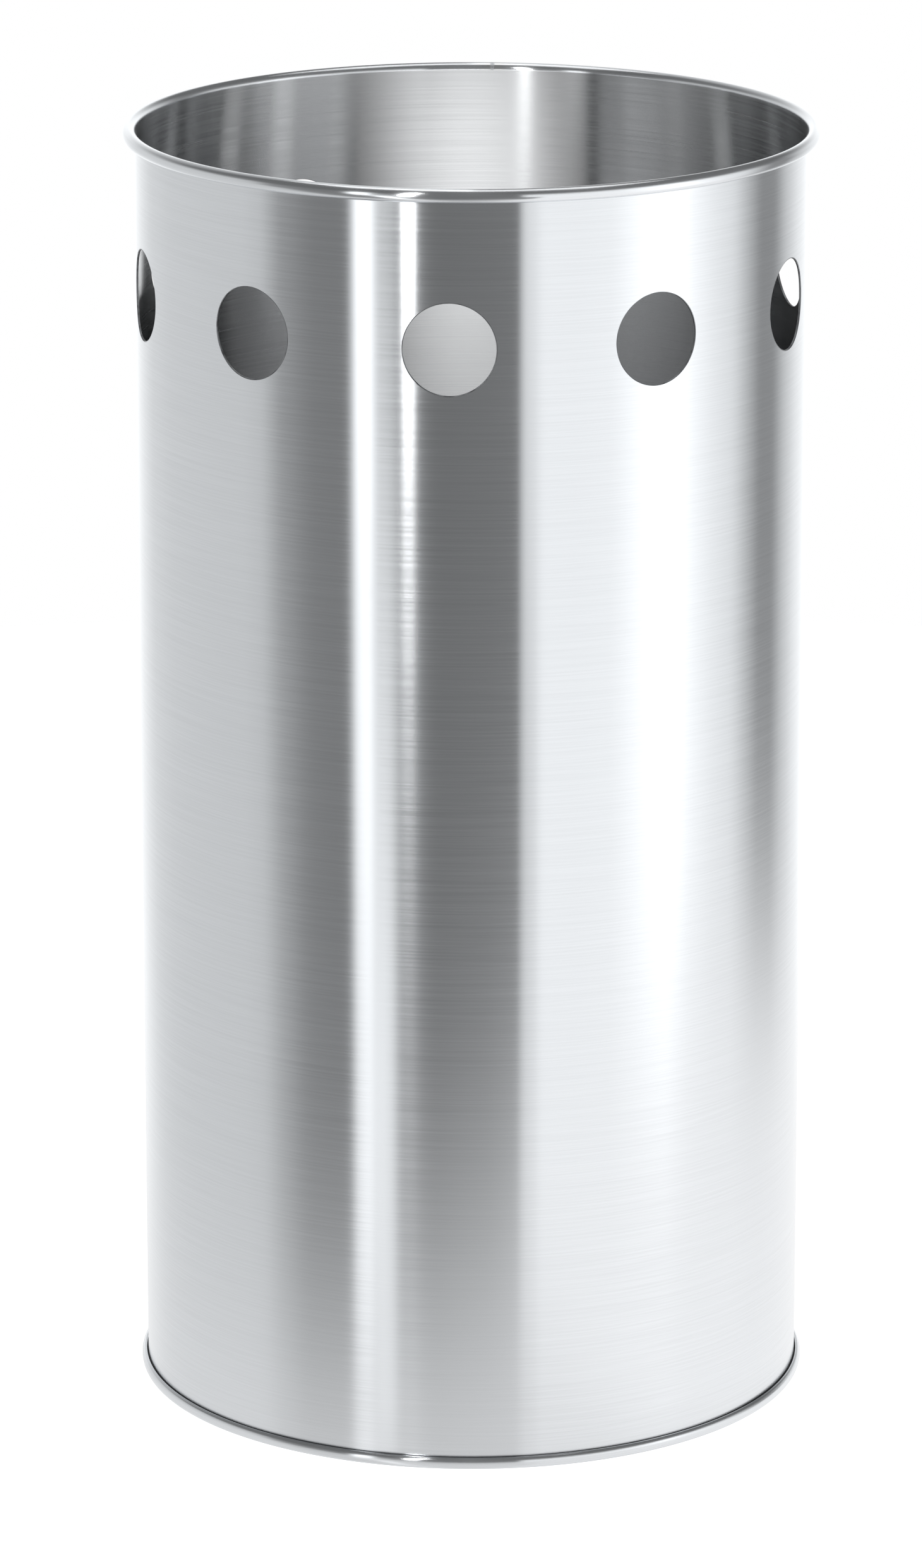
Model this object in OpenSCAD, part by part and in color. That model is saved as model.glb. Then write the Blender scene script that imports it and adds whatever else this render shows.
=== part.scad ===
// Round umbrella stand: a rolled sheet-steel tube with a wired rim and one row
// of punched holes, closed by a pressed bottom that is clamped on with a base
// ring, standing on rubber feet, with a lift-out drip tray inside.
// Millimetres, +Z up. The origin is the centre of the footprint, on the floor.

/* [Body] */
// Overall height, from the floor to the top of the rim
total_h = 504; // [400:2:620]
// Outer diameter of the tube
body_d = 260; // [220:2:320]
// Thickness of the sheet of the tube
sheet_t = 0.8; // [0.6:0.1:1.2]

/* [Rim] */
// Diameter of the wire inside the rolled rim
rim_wire_d = 3.5; // [3:0.5:6]
// Angle at which the curl ends, below the horizontal
curl_end_angle = 115; // [60:5:120]

/* [Holes] */
// Number of places for a hole round the tube, of which the one at the back stays blank
hole_places = 10; // [4:2:12]
// Diameter of a punched hole
hole_d = 35; // [20:1:44]
// Depth of the hole centres below the top of the rim
hole_drop = 61; // [50:1:120]

/* [Base] */
// Height of the metal ring round the bottom
ring_h = 4.5; // [4.5:0.5:6]
// How far the ring stands out from the tube
ring_overhang = 2.5; // [2.5:0.1:4]
// Gap between the floor and the ring, which the feet leave
floor_gap = 1.5; // [1:0.5:2]
// Thickness of the sheet of the bottom plate and of the ring
base_t = 0.8; // [0.6:0.1:1]

/* [Feet] */
// Diameter of a foot where it meets the floor
foot_d = 24; // [20:1:30]
// Height of a foot
foot_h = 9; // [8:0.5:12]
// Distance from the tube to the centre of a foot
foot_inset = 29; // [28:1:44]
// Diameter of the rivets that hold the feet
rivet_d = 4; // [3:0.5:5]

/* [Drip tray] */
// Height of the tray wall
tray_h = 32; // [20:2:60]
// Thickness of the tray wall and floor
tray_t = 2; // [1.6:0.2:3]
// Gap all round between the tray wall and the tube
tray_side_gap = 4; // [3.5:0.5:6]
// Width of a lifting grip
grip_w = 50; // [44:2:60]
// Height of a lifting grip above the tray wall
grip_h = 27; // [26:1:34]
// Number of radial ribs on the tray floor
rib_count = 12; // [6:2:16]

/* [Hidden] */
$fn = 96;

steel = "#c9cbcd";
bright_steel = "#dcdedf";
black_rubber = "#2b2b2d";
grey_plastic = "#9c9fa2";

// Tube
body_r = body_d / 2;
bore_r = body_r - sheet_t;

punch_depth = 20;
first_hole_angle = -90;
blank_place = hole_places / 2;

// Rolled rim: the sheet turns outwards round the wire
wire_play = 0.1;
curl_in_r = rim_wire_d / 2 + wire_play;
curl_out_r = curl_in_r + sheet_t;
curl_centre_r = bore_r + curl_out_r;
curl_centre_z = total_h - curl_out_r;

// Clamped joint at the bottom, from the outside in: ring, gasket, flange of the tube
ring_r = body_r + ring_overhang;
ring_low_z = floor_gap;
ring_top_z = floor_gap + ring_h;
ring_corner_r = 0.6;
ring_bottom_lip = 6.5;
clamp_low_z = ring_low_z + base_t;
clamp_high_z = ring_top_z - base_t;
clamp_r = ring_r - base_t;
gasket_play = 0.05;
gasket_t = (clamp_high_z - clamp_low_z - base_t - sheet_t) / 2;
gasket_edge_t = 0.5;
gasket_lip_t = 0.45;
gasket_lip_h = 0.7;
gasket_low_z = clamp_low_z + base_t;
tube_low_z = gasket_low_z + gasket_t;
flange_high_z = tube_low_z + sheet_t;
flange_r = clamp_r - gasket_edge_t;

// Bottom plate: a flange in the clamp and a floor raised over the feet
plate_step_r = body_r - 5;
plate_low_z = foot_h;
plate_top_z = foot_h + base_t;
plate_bend_r = 1.5;
bead_r = body_r * 0.38;
bead_w = 9;
bead_slope_w = 2;
bead_h = 1.6;

// Feet and their rivets
foot_top_d = foot_d - 3;
foot_edge_r = 1;
foot_ring_r = body_r - foot_inset;
foot_first_angle = -45;
foot_bore_r = rivet_d / 2 + 0.1;
foot_sink_r = 5.6;
foot_sink_h = 4;
washer_r = 5.2;
washer_t = 0.8;
rivet_head_r = rivet_d * 0.95;
rivet_head_h = 1.2;
rivet_tail_r = rivet_d * 0.8;
rivet_tail_h = 1.2;

// Drip tray
tray_lift_off = 0.3;
tray_r = bore_r - tray_side_gap;
tray_low_z = plate_top_z + tray_lift_off;
tray_ring_h = 2.6;
tray_ring_inset = 8;
tray_ring_out_r = tray_r - tray_ring_inset;
tray_ring_w = 3;
tray_floor_z = tray_low_z + tray_ring_h;
tray_top_z = tray_floor_z + tray_h;
tray_corner_r = 7;
lip_r = 1.7;
rib_h = 3;
rib_root = 0.2;
rib_w = 2.4;
rib_in_r = 18;
rib_out_r = tray_r - tray_corner_r - 6;
grip_corner_r = 9;
slot_w = 30;
slot_h = 12;
slot_corner_r = 5.5;
slot_drop = 7;
cut_over = 1;

// ---- Shared shapes ----

// Flat quarter of a ring between two radii, in the quadrant that starts at angle a
module quarter_ring(in_r, out_r, a) {
    rotate(a) intersection() {
        difference() {
            circle(r = out_r);
            circle(r = in_r);
        }
        square([out_r, out_r]);
    }
}

// Flat rectangle with all four corners rounded, centred on the origin
module round_rect(w, h, r) {
    square([w, h - 2 * r], center = true);
    square([w - 2 * r, h], center = true);
    for (sx = [-1, 1], sy = [-1, 1]) {
        translate([sx * (w / 2 - r), sy * (h / 2 - r)]) circle(r = r);
    }
}

// Places its children at each of the four feet
module at_foot(index) {
    rotate(foot_first_angle + 90 * index) translate([foot_ring_r, 0, 0]) children();
}

// ---- Tube ----

// Cross-section of the curl, open where it meets the tube again
module curl_profile() {
    reach = curl_out_r * 2;
    translate([curl_centre_r, curl_centre_z]) difference() {
        circle(r = curl_out_r);
        circle(r = curl_in_r);
        polygon([[0, 0],
                 [-reach, 0],
                 [-reach, -reach],
                 [reach * cos(curl_end_angle), -reach * sin(curl_end_angle)]]);
    }
}

// Cross-section of the tube: flange at the bottom, straight wall, curl at the top
module tube_profile() {
    translate([bore_r, tube_low_z]) square([sheet_t, curl_centre_z - tube_low_z]);
    translate([bore_r, tube_low_z]) square([flange_r - bore_r, flange_high_z - tube_low_z]);
    curl_profile();
}

module body_shell() {
    color(steel) difference() {
        rotate_extrude() tube_profile();
        for (i = [0 : hole_places - 1]) {
            if (i != blank_place) {
                rotate(first_hole_angle + i * 360 / hole_places)
                    translate([body_r - punch_depth / 2, 0, total_h - hole_drop])
                        rotate([0, 90, 0])
                            cylinder(d = hole_d, h = punch_depth);
            }
        }
    }
}

module rim_wire() {
    color(bright_steel) rotate_extrude()
        translate([curl_centre_r, curl_centre_z]) circle(d = rim_wire_d);
}

// ---- Clamped bottom joint ----

module edge_gasket() {
    gasket_in_r = plate_step_r + 2;
    in_r = body_r + gasket_play;
    color(black_rubber) rotate_extrude() {
        translate([gasket_in_r, gasket_low_z]) square([clamp_r - gasket_in_r, gasket_t]);
        translate([flange_r, gasket_low_z]) square([clamp_r - flange_r, clamp_high_z - gasket_low_z]);
        translate([in_r, flange_high_z]) square([clamp_r - in_r, gasket_t]);
        translate([in_r, flange_high_z]) square([gasket_lip_t, gasket_t + gasket_lip_h]);
    }
}

// Cross-section of the ring: a channel with rounded outer corners
module ring_profile() {
    top_lip_r = body_r + gasket_play + gasket_lip_t + gasket_play;
    bottom_lip_r = ring_r - ring_bottom_lip;
    side_h = ring_h - 2 * ring_corner_r;
    translate([ring_r - base_t, ring_low_z + ring_corner_r]) square([base_t, side_h]);
    translate([top_lip_r, clamp_high_z]) square([ring_r - ring_corner_r - top_lip_r, base_t]);
    translate([bottom_lip_r, ring_low_z]) square([ring_r - ring_corner_r - bottom_lip_r, base_t]);
    translate([ring_r - ring_corner_r, ring_low_z + ring_corner_r]) intersection() {
        circle(r = ring_corner_r);
        translate([0, -ring_corner_r]) square(ring_corner_r);
    }
    translate([ring_r - ring_corner_r, ring_top_z - ring_corner_r]) intersection() {
        circle(r = ring_corner_r);
        square(ring_corner_r);
    }
}

module base_ring() {
    color(bright_steel) rotate_extrude() ring_profile();
}

// Cross-section of the bottom plate: flange, step and raised floor with one pressed bead
module plate_profile() {
    bend_out = plate_bend_r + base_t;
    step_in_r = plate_step_r - base_t;
    translate([plate_step_r + plate_bend_r, clamp_low_z])
        square([clamp_r - plate_step_r - plate_bend_r, base_t]);
    translate([plate_step_r + plate_bend_r, clamp_low_z + bend_out])
        quarter_ring(plate_bend_r, bend_out, 180);
    translate([step_in_r, clamp_low_z + bend_out])
        square([base_t, plate_top_z - clamp_low_z - 2 * bend_out]);
    translate([plate_step_r - bend_out, plate_top_z - bend_out])
        quarter_ring(plate_bend_r, bend_out, 0);
    translate([bead_r + bead_w, plate_low_z])
        square([plate_step_r - bend_out - bead_r - bead_w, base_t]);
    translate([0, plate_low_z]) square([bead_r, base_t]);
    polygon([[bead_r, plate_low_z],
             [bead_r + bead_slope_w, plate_low_z + bead_h],
             [bead_r + bead_w - bead_slope_w, plate_low_z + bead_h],
             [bead_r + bead_w, plate_low_z],
             [bead_r + bead_w, plate_top_z],
             [bead_r + bead_w - bead_slope_w, plate_top_z + bead_h],
             [bead_r + bead_slope_w, plate_top_z + bead_h],
             [bead_r, plate_top_z]]);
}

module bottom_plate() {
    color(steel) difference() {
        rotate_extrude() plate_profile();
        for (i = [0 : 3]) {
            at_foot(i) translate([0, 0, plate_low_z - cut_over])
                cylinder(r = foot_bore_r, h = base_t + 2 * cut_over);
        }
    }
}

// ---- Feet ----

// Cross-section of a foot, from its bore to its tapered side
module foot_profile() {
    low_r = foot_d / 2;
    difference() {
        polygon([[foot_bore_r, 0],
                 [low_r - foot_edge_r, 0],
                 [low_r, foot_edge_r],
                 [foot_top_d / 2, foot_h],
                 [foot_bore_r, foot_h]]);
        translate([0, -cut_over]) square([foot_sink_r, foot_sink_h + cut_over]);
    }
}

module foot(index) {
    color(black_rubber) at_foot(index) rotate_extrude() foot_profile();
}

module foot_right_front() {
    foot(0);
}

module foot_right_rear() {
    foot(1);
}

module foot_left_rear() {
    foot(2);
}

module foot_left_front() {
    foot(3);
}

// One washer in the recess of each foot
module foot_washers() {
    color(bright_steel) for (i = [0 : 3]) {
        at_foot(i) translate([0, 0, foot_sink_h - washer_t]) difference() {
            cylinder(r = washer_r, h = washer_t);
            translate([0, 0, -cut_over]) cylinder(r = foot_bore_r, h = washer_t + 2 * cut_over);
        }
    }
}

// Cross-section of a set rivet: low domed head, shank and flattened tail
module rivet_profile() {
    shank_low_z = foot_sink_h - washer_t;
    dome_r = (rivet_head_r * rivet_head_r + rivet_head_h * rivet_head_h) / (2 * rivet_head_h);
    translate([0, shank_low_z]) square([rivet_d / 2, plate_top_z - shank_low_z]);
    translate([0, shank_low_z - rivet_tail_h]) square([rivet_tail_r, rivet_tail_h]);
    intersection() {
        translate([0, plate_top_z + rivet_head_h - dome_r]) circle(r = dome_r);
        translate([0, plate_top_z]) square([rivet_head_r + 1, rivet_head_h + 1]);
    }
}

module foot_rivets() {
    color(bright_steel) for (i = [0 : 3]) {
        at_foot(i) rotate_extrude() rivet_profile();
    }
}

// ---- Drip tray ----

// Cross-section of the tray: foot ring, floor, rounded corner, wall and lip
module tray_profile() {
    corner_in_r = tray_corner_r - tray_t;
    translate([0, tray_floor_z]) square([tray_r - tray_corner_r, tray_t]);
    translate([tray_r - tray_corner_r, tray_floor_z + tray_corner_r])
        quarter_ring(corner_in_r, tray_corner_r, 270);
    translate([tray_r - tray_t, tray_floor_z + tray_corner_r])
        square([tray_t, tray_h - tray_corner_r - lip_r]);
    translate([tray_r - tray_t / 2, tray_top_z - lip_r]) circle(r = lip_r);
    translate([tray_ring_out_r - tray_ring_w, tray_low_z]) square([tray_ring_w, tray_ring_h]);
}

// Flat outline of a lifting grip, seen from the centre of the tray: width, height
module grip_outline() {
    full_h = grip_h + grip_corner_r;
    translate([0, full_h / 2 - grip_corner_r]) round_rect(grip_w, full_h, grip_corner_r);
}

// One lifting grip: a piece of the wall that stands up, with a finger slot
module tray_grip() {
    intersection() {
        rotate_extrude() translate([tray_r - tray_t, tray_top_z - lip_r])
            square([tray_t, grip_h + lip_r]);
        translate([tray_r / 2, 0, tray_top_z - lip_r]) rotate([90, 0, 90])
            linear_extrude(height = tray_r) difference() {
                grip_outline();
                translate([0, grip_h - slot_drop - slot_h / 2])
                    round_rect(slot_w, slot_h, slot_corner_r);
            }
    }
}

// Low ribs that keep the tips of the umbrellas out of the water and stop them sliding
module tray_ribs() {
    for (i = [0 : rib_count - 1]) {
        rotate((i + 0.5) * 360 / rib_count)
            translate([rib_in_r, -rib_w / 2, tray_floor_z + tray_t - rib_root])
                cube([rib_out_r - rib_in_r, rib_w, rib_h + rib_root]);
    }
}

module drip_tray() {
    color(grey_plastic) union() {
        rotate_extrude() tray_profile();
        tray_ribs();
        tray_grip();
        rotate(180) tray_grip();
    }
}

body_shell();
rim_wire();
edge_gasket();
base_ring();
bottom_plate();
foot_right_front();
foot_right_rear();
foot_left_rear();
foot_left_front();
foot_washers();
foot_rivets();
drip_tray();
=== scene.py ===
"""Looks of a round brushed-steel umbrella stand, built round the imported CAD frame.

Every length is in metres, +Z is up and the footprint's centre is the origin. The
tube is one new mesh with its punched holes, wired rim and bottom flange; the other
pieces are either new meshes or the frame's own solids with a finish of their own.
"""

import logging
import math
from dataclasses import dataclass, field
from enum import Enum
from typing import Callable, Sequence

import bmesh
import bpy
import numpy as np
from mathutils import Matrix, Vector


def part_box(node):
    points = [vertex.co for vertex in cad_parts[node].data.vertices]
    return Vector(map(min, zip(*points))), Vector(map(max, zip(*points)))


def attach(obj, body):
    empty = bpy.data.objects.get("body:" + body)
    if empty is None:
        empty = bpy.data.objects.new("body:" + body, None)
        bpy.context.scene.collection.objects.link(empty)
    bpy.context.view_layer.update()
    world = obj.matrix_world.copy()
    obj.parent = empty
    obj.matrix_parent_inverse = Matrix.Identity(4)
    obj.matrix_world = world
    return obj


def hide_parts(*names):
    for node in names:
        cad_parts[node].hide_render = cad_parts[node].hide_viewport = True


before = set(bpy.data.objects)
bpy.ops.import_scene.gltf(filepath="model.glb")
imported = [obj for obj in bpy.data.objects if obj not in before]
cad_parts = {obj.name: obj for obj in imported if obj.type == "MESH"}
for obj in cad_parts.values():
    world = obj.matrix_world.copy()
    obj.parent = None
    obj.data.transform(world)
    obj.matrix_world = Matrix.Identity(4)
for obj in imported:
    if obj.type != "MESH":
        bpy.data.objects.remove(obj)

LOG = logging.getLogger("umbrella_stand")
MM = 0.001
STAND = "stand"

Point = tuple[float, float, float]
Profile = list[tuple[float, float]]
Colour = tuple[float, float, float, float]


# ---------------------------------------------------------------- mesh tools


@dataclass
class MeshDraft:
    """Points, faces and finish numbers of a mesh that is being drawn."""

    name: str
    points: list[Point] = field(default_factory=list)
    faces: list[tuple[int, ...]] = field(default_factory=list)
    finish_of_face: list[int] = field(default_factory=list)

    def grid(self, rows: np.ndarray, finish: int, closed: bool = False, flip: bool = False) -> None:
        """Adds a grid of quads.

        Args:
            rows: points of shape (rows, columns, 3).
            finish: number of the finish of these faces.
            closed: whether the last column joins the first.
            flip: whether the faces look the other way.
        """
        start = len(self.points)
        row_count, column_count = rows.shape[:2]
        self.points.extend(map(tuple, rows.reshape(-1, 3).tolist()))
        last = column_count if closed else column_count - 1
        for row in range(row_count - 1):
            for column in range(last):
                after = (column + 1) % column_count
                low = start + row * column_count
                high = low + column_count
                quad = (low + column, low + after, high + after, high + column)
                self.faces.append(quad[::-1] if flip else quad)
                self.finish_of_face.append(finish)

    def lathe(
        self,
        profile: Sequence[tuple[float, float]],
        angles: np.ndarray,
        finish: int,
        centre: tuple[float, float] = (0.0, 0.0),
    ) -> None:
        """Turns a profile of (radius, height) points once round an upright axis.

        Args:
            profile: the points, in the order that makes the faces look outwards.
            angles: the angles of the columns, in radians.
            finish: number of the finish of these faces.
            centre: where the axis stands.
        """
        radius = np.array([p[0] for p in profile])[:, None]
        height = np.array([p[1] for p in profile])[:, None]
        rows = np.stack(
            [
                centre[0] + radius * np.cos(angles)[None, :],
                centre[1] + radius * np.sin(angles)[None, :],
                height + 0.0 * angles[None, :],
            ],
            axis=-1,
        )
        self.grid(rows, finish, closed=True)

    def finish(self, finishes: Sequence[bpy.types.Material], weld: float = 1e-6) -> bpy.types.Object:
        """Makes the object.

        Args:
            finishes: the materials, in the order of their numbers.
            weld: points closer than this become one.

        Returns:
            The new object, linked to the scene, with smooth faces.
        """
        mesh = bpy.data.meshes.new(self.name)
        mesh.from_pydata(self.points, [], self.faces)
        for material in finishes:
            mesh.materials.append(material)
        mesh.polygons.foreach_set("material_index", self.finish_of_face)
        work = bmesh.new()
        work.from_mesh(mesh)
        bmesh.ops.remove_doubles(work, verts=work.verts, dist=weld)
        bmesh.ops.dissolve_degenerate(work, edges=work.edges, dist=weld * 0.1)
        work.to_mesh(mesh)
        work.free()
        mesh.polygons.foreach_set("use_smooth", [True] * len(mesh.polygons))
        mesh.update()
        piece = bpy.data.objects.new(self.name, mesh)
        bpy.context.scene.collection.objects.link(piece)
        return piece


def arc(centre: tuple[float, float], radius: float, start: float, end: float, steps: int) -> Profile:
    """Points along an arc.

    Args:
        centre: middle of the arc, as (radius, height).
        radius: radius of the arc.
        start: first angle, in degrees.
        end: last angle, in degrees.
        steps: number of steps between them.

    Returns:
        The points, both ends included.
    """
    angles = np.radians(np.linspace(start, end, steps + 1))
    return [(centre[0] + radius * math.cos(a), centre[1] + radius * math.sin(a)) for a in angles]


def full_turn(columns: int, start: float = 0.0) -> np.ndarray:
    """Evenly spaced angles round one turn, in radians, from start."""
    return start + np.arange(columns) * (2.0 * math.pi / columns)


def set_exact_normals(piece: bpy.types.Object, rule: Callable[[np.ndarray, np.ndarray], np.ndarray]) -> None:
    """Gives a mesh the normals of the true surface that it stands for.

    Args:
        piece: the object.
        rule: takes the points and the computed normals, and returns the true ones.
    """
    mesh = piece.data
    count = len(mesh.vertices)
    points = np.zeros(count * 3)
    mesh.vertices.foreach_get("co", points)
    normals = np.zeros(count * 3)
    mesh.vertex_normals.foreach_get("vector", normals)
    true_normals = rule(points.reshape(-1, 3), normals.reshape(-1, 3))
    mesh.normals_split_custom_set_from_vertices(true_normals.tolist())


# ------------------------------------------------------------------ finishes


class Graph:
    """A node tree that is being filled."""

    def __init__(self, tree: bpy.types.NodeTree) -> None:
        """Starts on an empty tree."""
        self.tree = tree
        self.tree.nodes.clear()

    def add(self, kind: str, inputs: dict | None = None, **settings: object) -> bpy.types.Node:
        """Adds a node.

        Args:
            kind: Blender's name for the node.
            inputs: value or source socket of each input, by name or number.
            **settings: the node's own settings.

        Returns:
            The node.
        """
        node = self.tree.nodes.new(kind)
        for key, value in settings.items():
            setattr(node, key, value)
        for key, value in (inputs or {}).items():
            if isinstance(value, bpy.types.NodeSocket):
                self.tree.links.new(value, node.inputs[key])
            else:
                node.inputs[key].default_value = value
        return node

    def math(self, operation: str, *values: object) -> bpy.types.NodeSocket:
        """Adds a maths node and returns its result."""
        node = self.add("ShaderNodeMath", dict(enumerate(values)), operation=operation)
        return node.outputs[0]

    def ramp(
        self, factor: bpy.types.NodeSocket, stops: Sequence[tuple[float, Colour]], mode: str = "LINEAR"
    ) -> bpy.types.NodeSocket:
        """Adds a colour ramp.

        Args:
            factor: what drives the ramp.
            stops: place and colour of each stop, in order.
            mode: how the ramp goes between stops.

        Returns:
            The ramp's colour.
        """
        node = self.add("ShaderNodeValToRGB", {"Fac": factor})
        node.color_ramp.interpolation = mode
        elements = node.color_ramp.elements
        while len(elements) > 1:
            elements.remove(elements[-1])
        elements[0].position, elements[0].color = stops[0]
        for place, colour in stops[1:]:
            elements.new(place).color = colour
        return node.outputs["Color"]

    def range(
        self, value: bpy.types.NodeSocket, low: float, high: float, to_low: float, to_high: float,
        smooth: bool = False,
    ) -> bpy.types.NodeSocket:
        """Maps a value from one range to another, clamped, and returns the result."""
        mode = "SMOOTHSTEP" if smooth else "LINEAR"
        inputs = {"Value": value, "From Min": low, "From Max": high, "To Min": to_low, "To Max": to_high}
        return self.add("ShaderNodeMapRange", inputs, interpolation_type=mode).outputs["Result"]

    def place(self, scale: Point = (1.0, 1.0, 1.0)) -> bpy.types.NodeSocket:
        """The point in the piece's own frame, scaled."""
        source = self.add("ShaderNodeTexCoord").outputs["Object"]
        return self.add("ShaderNodeMapping", {"Vector": source, "Scale": scale}).outputs["Vector"]

    def noise(
        self, vector: bpy.types.NodeSocket, scale: float, detail: float = 2.0, rough: float = 0.5
    ) -> bpy.types.NodeSocket:
        """Adds a noise texture and returns its value."""
        inputs = {"Vector": vector, "Scale": scale, "Detail": detail, "Roughness": rough}
        return self.add("ShaderNodeTexNoise", inputs).outputs["Fac"]

    def blend(
        self, factor: bpy.types.NodeSocket, first: object, second: object, mode: str = "MIX"
    ) -> bpy.types.NodeSocket:
        """Mixes two colours and returns the result."""
        node = self.add("ShaderNodeMix", data_type="RGBA", blend_type=mode)
        for socket, value in ((node.inputs[0], factor), (node.inputs[6], first), (node.inputs[7], second)):
            if isinstance(value, bpy.types.NodeSocket):
                self.tree.links.new(value, socket)
            else:
                socket.default_value = value
        return node.outputs[2]

    def bump(self, height: bpy.types.NodeSocket, strength: float, distance: float) -> bpy.types.NodeSocket:
        """Adds a bump node and returns its normal."""
        inputs = {"Height": height, "Strength": strength, "Distance": distance}
        return self.add("ShaderNodeBump", inputs).outputs["Normal"]


def grey(value: float, tint: Point = (1.0, 1.0, 1.0)) -> Colour:
    """A grey of that linear value, times a tint."""
    return (value * tint[0], value * tint[1], value * tint[2], 1.0)


@dataclass(frozen=True)
class Finish:
    """A surface finish, which makes one material."""

    name: str

    def _start(self) -> tuple[bpy.types.Material, Graph, bpy.types.Node]:
        """Makes the material, its graph and its surface shader."""
        material = bpy.data.materials.new(self.name)
        material.use_nodes = True
        graph = Graph(material.node_tree)
        shader = graph.add("ShaderNodeBsdfPrincipled")
        output = graph.add("ShaderNodeOutputMaterial")
        material.node_tree.links.new(shader.outputs["BSDF"], output.inputs["Surface"])
        return material, graph, shader

    def _join(
        self, graph: Graph, shader: bpy.types.Node, colour: bpy.types.NodeSocket,
        rough: bpy.types.NodeSocket, normal: bpy.types.NodeSocket,
    ) -> bpy.types.NodeInputs:
        """Joins colour, roughness and normal to the shader and returns the shader's inputs."""
        for source, name in ((colour, "Base Color"), (rough, "Roughness"), (normal, "Normal")):
            graph.tree.links.new(source, shader.inputs[name])
        return shader.inputs


@dataclass(frozen=True)
class BrushedSteel(Finish):
    """Stainless sheet brushed round the tube: fine level lines, and a highlight drawn out upwards."""

    tint: Point = (0.955, 0.975, 1.0)
    light: float = 0.885
    dark: float = 0.835
    roughness: float = 0.17
    spread: float = 0.018
    stretch: float = 1.0
    line_pitch: float = 0.0006
    line_length: float = 0.05
    line_depth: float = 0.000004
    seam_angle: float | None = None

    def make(self) -> bpy.types.Material:
        """Makes the material and returns it."""
        material, graph, shader = self._start()
        along = 1.0 / self.line_length
        across = 1.0 / self.line_pitch
        lines = graph.noise(graph.place((along, along, across)), 1.0, 2.0, 0.6)
        coarse = graph.noise(graph.place((along * 0.4, along * 0.4, across * 0.4)), 1.0, 3.0, 0.6)
        clouds = graph.noise(graph.place((9.0, 9.0, 6.0)), 1.0, 4.0, 0.55)
        both = graph.math("ADD", graph.math("MULTIPLY", lines, 0.75), graph.math("MULTIPLY", coarse, 0.25))
        tone = graph.range(both, 0.35, 0.65, 0.0, 1.0)
        colour = graph.blend(tone, grey(self.dark, self.tint), grey(self.light, self.tint))
        rough_lines = graph.range(both, 0.3, 0.7, self.roughness - self.spread, self.roughness + self.spread)
        handled = graph.range(clouds, 0.52, 0.72, 0.0, self.spread * 0.8, smooth=True)
        rough = graph.math("ADD", rough_lines, handled)
        if self.seam_angle is not None:
            colour, rough = self._seam(graph, colour, rough)
        inputs = self._join(graph, shader, colour, rough, graph.bump(both, 0.6, self.line_depth))
        inputs["Metallic"].default_value = 1.0
        inputs["Anisotropic"].default_value = self.stretch
        inputs["Anisotropic Rotation"].default_value = 0.25
        return material

    def _seam(
        self, graph: Graph, colour: bpy.types.NodeSocket, rough: bpy.types.NodeSocket
    ) -> tuple[bpy.types.NodeSocket, bpy.types.NodeSocket]:
        """Draws the ground-down weld line of the tube at the seam's angle.

        Args:
            graph: the graph.
            colour: the colour beside the seam.
            rough: the roughness beside the seam.

        Returns:
            The colour and the roughness with the seam.
        """
        axes = graph.add("ShaderNodeSeparateXYZ", {"Vector": graph.place()})
        cosine, sine = math.cos(self.seam_angle), math.sin(self.seam_angle)
        across = graph.math(
            "SUBTRACT",
            graph.math("MULTIPLY", axes.outputs["Y"], cosine),
            graph.math("MULTIPLY", axes.outputs["X"], sine),
        )
        ahead = graph.math(
            "ADD",
            graph.math("MULTIPLY", axes.outputs["X"], cosine),
            graph.math("MULTIPLY", axes.outputs["Y"], sine),
        )
        ripple = graph.noise(graph.place((0.0, 0.0, 900.0)), 1.0, 2.0)
        wander = graph.math("MULTIPLY", graph.math("SUBTRACT", ripple, 0.5), 0.0006)
        distance = graph.math("ABSOLUTE", graph.math("ADD", across, wander))
        line = graph.range(distance, 0.0003, 0.0013, 1.0, 0.0, smooth=True)
        near = graph.math("MULTIPLY", line, graph.math("GREATER_THAN", ahead, 0.0))
        heat = graph.math(
            "MULTIPLY",
            graph.range(distance, 0.001, 0.007, 0.35, 0.0, smooth=True),
            graph.math("GREATER_THAN", ahead, 0.0),
        )
        warm = graph.blend(heat, colour, grey(0.72, (1.0, 0.97, 0.92)))
        dull = graph.blend(near, warm, grey(0.66, self.tint))
        return dull, graph.math("ADD", rough, graph.math("MULTIPLY", near, 0.12))


@dataclass(frozen=True)
class MillSteel(Finish):
    """Unpolished sheet steel with faint rolling marks, as on the inside and the bottom."""

    tint: Point = (0.97, 0.985, 1.0)
    light: float = 0.80
    dark: float = 0.72
    roughness: float = 0.42
    stretch: float = 0.5
    rotation: float = 0.25
    grain: Point = (30.0, 30.0, 700.0)
    stains: float = 0.10

    def make(self) -> bpy.types.Material:
        """Makes the material and returns it."""
        material, graph, shader = self._start()
        marks = graph.noise(graph.place(self.grain), 1.0, 3.0, 0.6)
        clouds = graph.noise(graph.place(), 14.0, 5.0, 0.6)
        tone = graph.range(marks, 0.35, 0.65, 0.0, 1.0)
        plain = graph.blend(tone, grey(self.dark, self.tint), grey(self.light, self.tint))
        stain = graph.range(clouds, 0.5, 0.75, 0.0, self.stains, smooth=True)
        colour = graph.blend(stain, plain, grey(self.dark * 0.6, self.tint))
        rough = graph.math(
            "ADD",
            graph.range(marks, 0.3, 0.7, self.roughness - 0.04, self.roughness + 0.05),
            graph.math("MULTIPLY", stain, 0.6),
        )
        inputs = self._join(graph, shader, colour, rough, graph.bump(marks, 0.3, 0.000002))
        inputs["Metallic"].default_value = 1.0
        inputs["Anisotropic"].default_value = self.stretch
        inputs["Anisotropic Rotation"].default_value = self.rotation
        return material


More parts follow.
